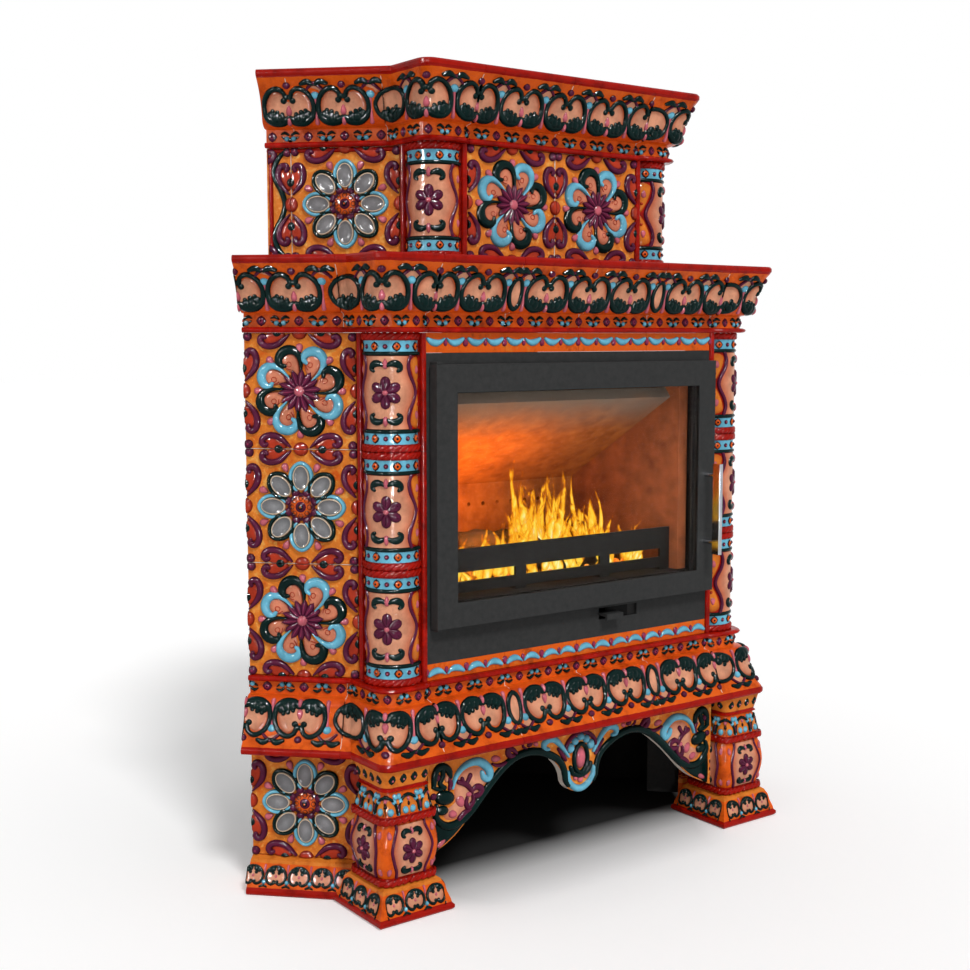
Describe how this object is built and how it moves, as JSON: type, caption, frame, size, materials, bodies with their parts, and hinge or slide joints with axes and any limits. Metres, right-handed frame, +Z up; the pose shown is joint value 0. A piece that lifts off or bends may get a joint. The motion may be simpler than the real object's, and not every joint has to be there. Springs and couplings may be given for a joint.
{
  "type": "tiled stove",
  "caption": "Corner tiled fireplace: relief tiles on pedestals round a steel fire insert with a glass door, sliding air control, stepped cornices and a flue outlet.",
  "frame": {"origin": "on the floor, under the middle of the bounding box", "axes": "+Z up, -Y towards the room (the fire door), +X to the right seen from the room; the walls of the room corner run at 45 degrees behind"},
  "size_m": [1.3216, 0.8544, 1.59],
  "materials": {
    "glazed_tile": "high gloss",
    "red_moulding": "high gloss",
    "concrete": "rough",
    "aerated_block": "rough",
    "fireclay": "matt",
    "charcoal_paint": "satin",
    "black_paint": "matt",
    "bare_steel": "satin",
    "cast_iron": "rough",
    "hinge_steel": "satin",
    "door_glass": "clear",
    "chrome": "polished",
    "rope_seal": "matt"
  },
  "bodies": {
    "stove": {"air_box": "black_paint", "apron_tiles": "glazed_tile", "ash_chamber": "black_paint", "ash_pan": "bare_steel", "back_lining": "fireclay", "base_block_walls": "aerated_block", "base_side_tiles": "glazed_tile", "base_slab": "concrete", "body_column_left": "glazed_tile", "body_column_right": "glazed_tile", "body_side_tiles": "glazed_tile", "catch_spring": "bare_steel", "cornice_corner_left": "glazed_tile", "cornice_corner_right": "glazed_tile", "cornice_front_tiles": "glazed_tile", "cornice_listel": "red_moulding", "cornice_side_tiles": "glazed_tile", "crown_corner_left": "glazed_tile", "crown_corner_right": "glazed_tile", "crown_front_tiles": "glazed_tile", "crown_listel": "red_moulding", "crown_side_tiles": "glazed_tile", "crown_slab": "concrete", "firebox_floor": "black_paint", "firebox_shell": "black_paint", "flue_pipe": "black_paint", "frieze_tiles_lower": "glazed_tile", "frieze_tiles_upper": "glazed_tile", "grate": "cast_iron", "hearth_floor": "fireclay", "hinge_lugs": "hinge_steel", "hinge_pins": "hinge_steel", "insert_facing": "charcoal_paint", "insert_stand": "black_paint", "leaning_lining": "fireclay", "ledge_corner_left": "glazed_tile", "ledge_corner_right": "glazed_tile", "ledge_front_tiles": "glazed_tile", "ledge_listel": "red_moulding", "ledge_side_tiles": "glazed_tile", "log_guard": "black_paint", "mantel_slab": "concrete", "pedestal_capitals": "glazed_tile", "pedestal_feet": "glazed_tile", "pedestal_shafts": "glazed_tile", "rear_pier": "aerated_block", "side_linings": "fireclay", "side_plinths": "glazed_tile", "smoke_baffle": "black_paint", "upper_columns": "glazed_tile", "upper_front_tiles": "glazed_tile", "upper_side_tiles": "glazed_tile"},
    "door": {"door_pan": "charcoal_paint", "door_glass": "door_glass", "glass_retainer": "black_paint", "door_seal": "rope_seal", "hinge_bushes": "hinge_steel", "door_handle": "chrome", "catch_roller": "bare_steel"},
    "air_slide": {"air_slide": "bare_steel"}
  },
  "joints": [
    {"name": "door_hinge", "type": "hinge", "parent": "stove", "child": "door", "pos_m": [-0.3535, -0.36522, 0.7775], "axis": [0, 0, -1], "range_deg": [0, 110]},
    {"name": "air_slide", "type": "slide", "parent": "stove", "child": "air_slide", "axis": [1, 0, 0], "range_m": [0, 0.06]}
  ]
}
